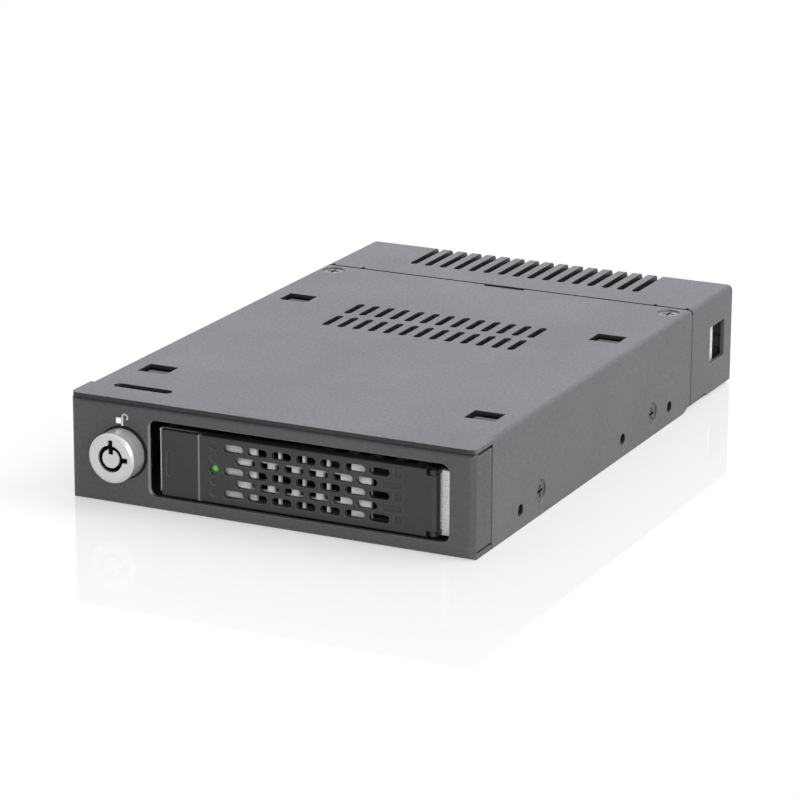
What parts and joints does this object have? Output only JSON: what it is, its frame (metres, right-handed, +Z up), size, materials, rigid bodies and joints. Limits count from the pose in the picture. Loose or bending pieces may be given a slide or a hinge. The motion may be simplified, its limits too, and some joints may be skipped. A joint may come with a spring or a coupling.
{
  "type": "ssd enclosure",
  "caption": "Steel bay enclosure for a small drive, with a pull-out tray behind a grilled lever door, a tubular key lock and a vented rear cap.",
  "frame": {"origin": "centre of the underside, on the plane the case rests on", "axes": "+X to the right seen from the front, +Y from the door to the connectors, +Z up"},
  "size_m": [0.1016, 0.1639, 0.0254],
  "materials": {
    "case_paint": "fine powder coat, satin",
    "rail_plastic": "moulded",
    "screw_steel": "dark plated",
    "board": "solder mask",
    "standoff_brass": "turned",
    "connector_plastic": "moulded",
    "connector_metal": "plated",
    "led_package": "clear moulded",
    "lock_nickel": "satin nickel",
    "lock_washer": "matt",
    "lock_steel": "zinc plated",
    "tray_steel": "bare bright sheet",
    "hinge_plastic": "moulded",
    "door_plastic": "fine texture",
    "pin_steel": "drawn wire",
    "light_pipe": "clear",
    "led_green": "clear tinted"
  },
  "bodies": {
    "case": {"base_chassis": "case_paint", "top_cover": "case_paint", "rear_cap": "case_paint", "left_guide_rail": "rail_plastic", "right_guide_rail": "rail_plastic", "rail_screws": "screw_steel", "side_screws": "screw_steel", "top_screws": "screw_steel", "rear_screws": "screw_steel", "main_board": "board", "board_standoffs": "standoff_brass", "board_screws": "screw_steel", "drive_socket": "connector_plastic", "data_port": "connector_metal", "power_port": "connector_plastic", "status_led": "led_package", "board_chip": "connector_plastic", "lock_shell": "lock_nickel", "lock_washer": "lock_washer", "lock_nut": "lock_steel"},
    "lock_core": {"lock_plug": "lock_nickel", "lock_cam": "lock_steel", "cam_screw": "lock_steel"},
    "tray": {"tray_pan": "tray_steel", "tray_front_plate": "tray_steel", "hinge_lugs": "hinge_plastic", "hinge_pin": "pin_steel", "light_pipe": "light_pipe"},
    "door": {"door_panel": "door_plastic", "led_lens": "led_green", "button_pin": "pin_steel", "button_spring": "pin_steel"},
    "button": {"release_button": "door_plastic"}
  },
  "joints": [
    {"name": "tray_slide", "type": "slide", "parent": "case", "child": "tray", "axis": [0, -1, 0], "range_m": [0, 0.112]},
    {"name": "door_hinge", "type": "hinge", "parent": "tray", "child": "door", "pos_m": [0.04, -0.0766, 0], "axis": [0, 0, 1], "range_deg": [0, 90]},
    {"name": "button_rock", "type": "hinge", "parent": "door", "child": "button", "pos_m": [-0.01881, -0.07605, 0], "axis": [0, 0, -1], "range_deg": [0, 4.5], "stiffness_Nm_per_rad": 0.3, "deforming": ["button_spring"]},
    {"name": "lock_turn", "type": "hinge", "parent": "case", "child": "lock_core", "pos_m": [-0.0371, -0.079, 0.0128], "axis": [0, 1, 0], "range_deg": [0, 90]}
  ]
}
